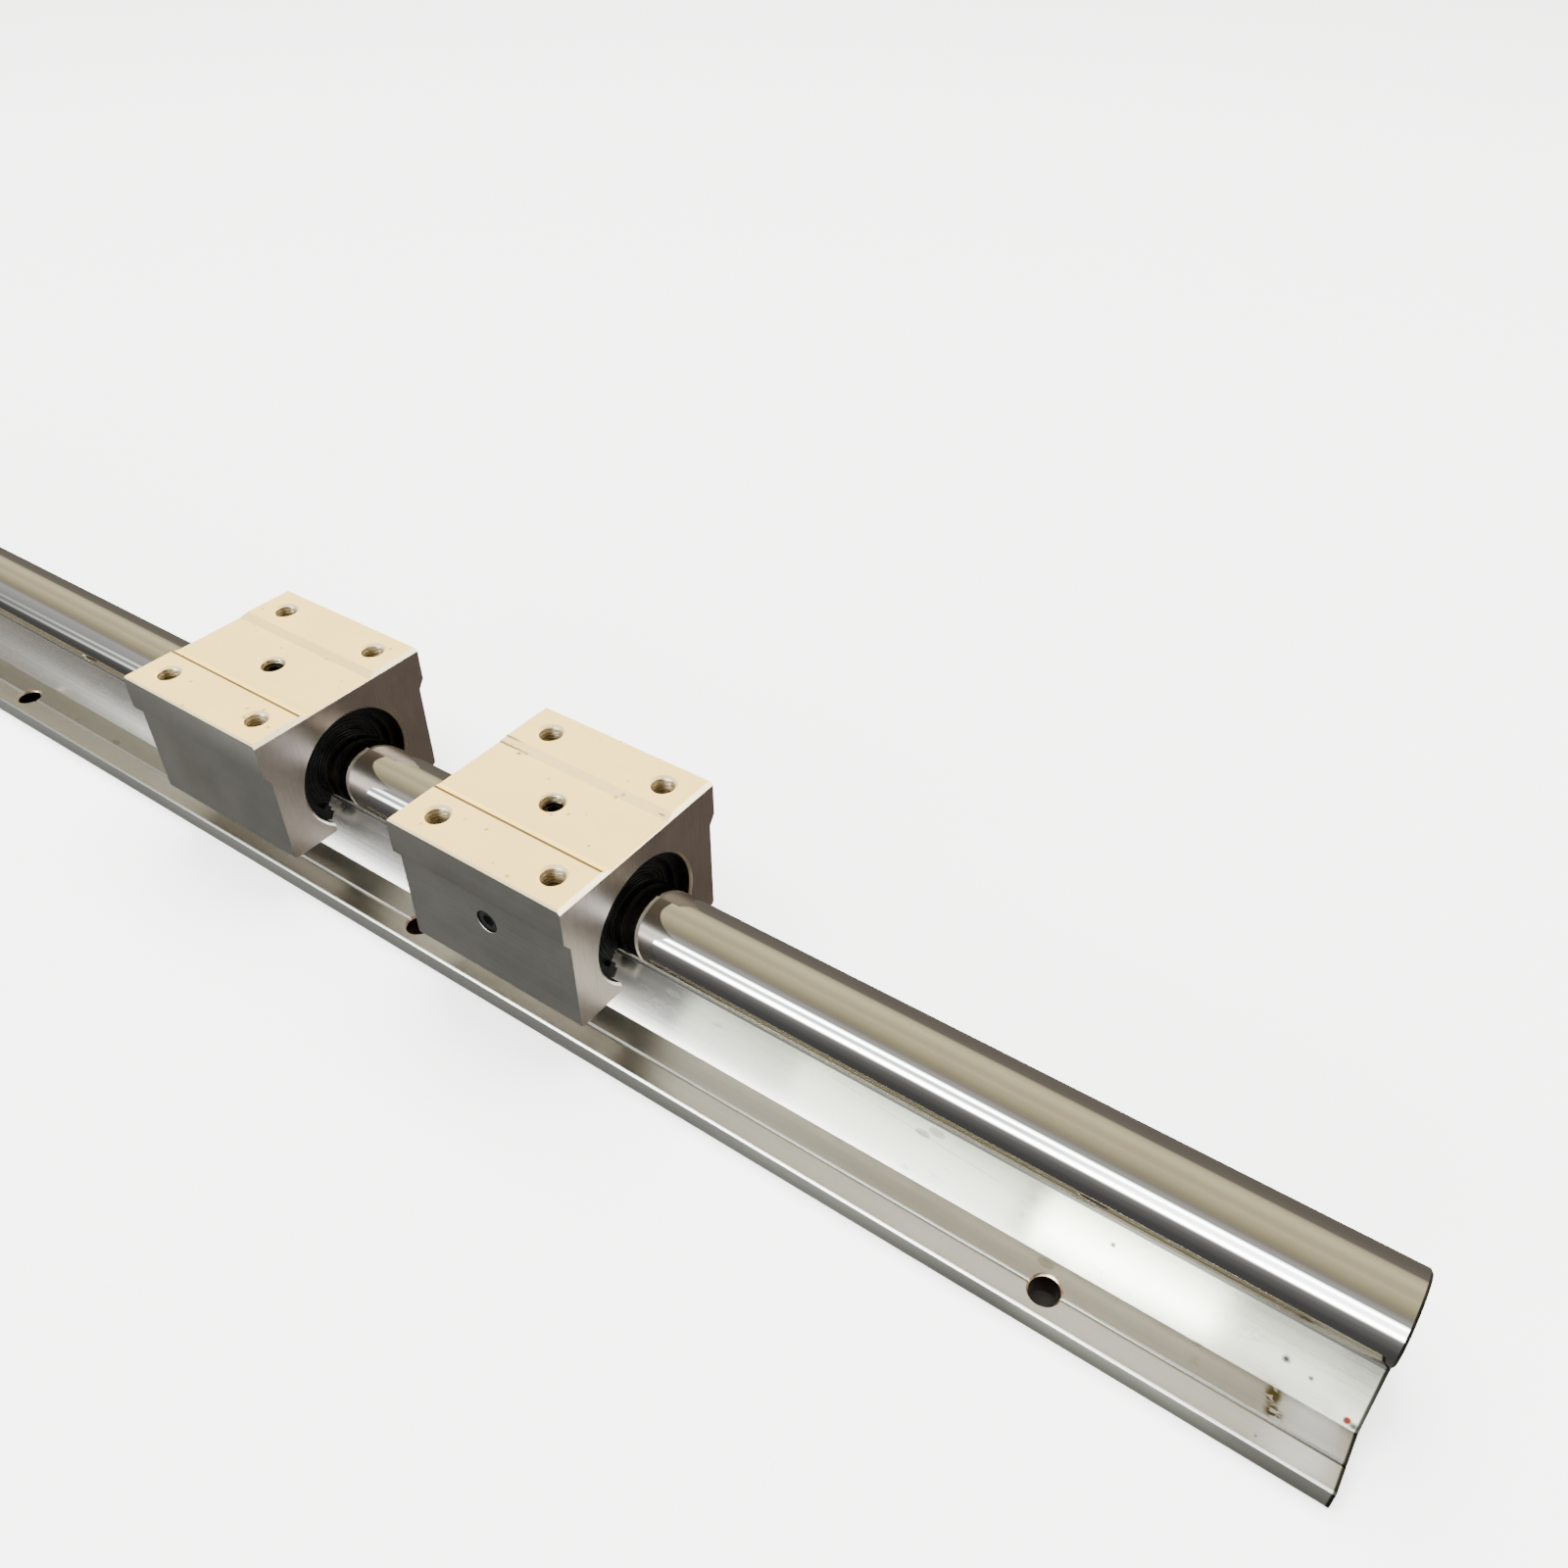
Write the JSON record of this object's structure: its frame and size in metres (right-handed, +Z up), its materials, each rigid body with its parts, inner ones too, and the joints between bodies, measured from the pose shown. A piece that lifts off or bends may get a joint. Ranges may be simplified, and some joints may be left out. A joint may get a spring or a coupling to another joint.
{
  "type": "supported round rail",
  "caption": "Round ground shaft screwed down on a low extruded support with bolting flanges, with two open ball bearing blocks that slide along it",
  "frame": {"origin": "Middle of the support's underside, which is the bottom centre of the bounding box", "axes": "+X along the rail, +Y across it, +Z up from the surface it is bolted to"},
  "size_m": [0.55, 0.045, 0.045],
  "materials": {
    "rail": "mill finish with fine extrusion lines",
    "shaft": "ground and hard chrome plated",
    "housing": "matte clear anodised",
    "sleeve": "ground bearing steel",
    "cage": "moulded black",
    "ring": "black phosphated spring steel",
    "screw": "black oxide"
  },
  "bodies": {
    "rail": {"support_rail": "rail", "shaft": "shaft", "shaft_screws": "screw"},
    "block_a": {"block_a_housing": "housing", "block_a_bushing_sleeve": "sleeve", "block_a_ball_cage": "cage", "block_a_retaining_ring_1": "ring", "block_a_retaining_ring_2": "ring", "block_a_set_screw": "screw", "block_a_lock_screw": "screw"},
    "block_b": {"block_b_housing": "housing", "block_b_bushing_sleeve": "sleeve", "block_b_ball_cage": "cage", "block_b_retaining_ring_1": "ring", "block_b_retaining_ring_2": "ring", "block_b_set_screw": "screw", "block_b_lock_screw": "screw"}
  },
  "joints": [
    {"name": "block_a_slide", "type": "slide", "parent": "rail", "child": "block_a", "axis": [1, 0, 0], "range_m": [-0.274, 0.0195]},
    {"name": "block_b_slide", "type": "slide", "parent": "rail", "child": "block_b", "axis": [1, 0, 0], "range_m": [-0.0195, 0.1465]}
  ]
}
